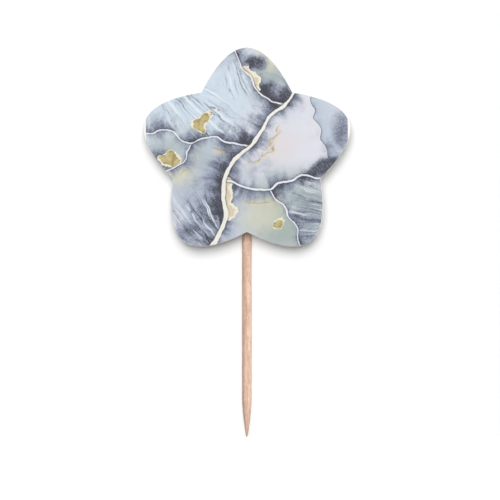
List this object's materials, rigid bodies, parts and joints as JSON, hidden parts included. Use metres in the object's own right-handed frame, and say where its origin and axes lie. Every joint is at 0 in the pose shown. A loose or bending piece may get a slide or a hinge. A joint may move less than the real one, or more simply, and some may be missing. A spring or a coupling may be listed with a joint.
{
  "type": "cupcake pick",
  "caption": "Cupcake topper: a die-cut card star with round petals and a marbled print, glued near the top of a pointed round wooden pick.",
  "frame": {"origin": "the pick's lower point, on the pick's axis", "axes": "+Z along the pick, from the point up to the star; the card's printed front faces -Y and its plain back, with the glue and the upper part of the pick, faces +Y; +X is to the right seen from the front"},
  "size_m": [0.0414, 0.0028, 0.0782],
  "materials": {
    "printed_card": "satin",
    "birch_wood": "matte",
    "hot_melt_glue": "satin"
  },
  "bodies": {
    "root": {"printed_card": "printed_card", "wooden_pick": "birch_wood", "glue_bead": "hot_melt_glue"}
  },
  "joints": []
}
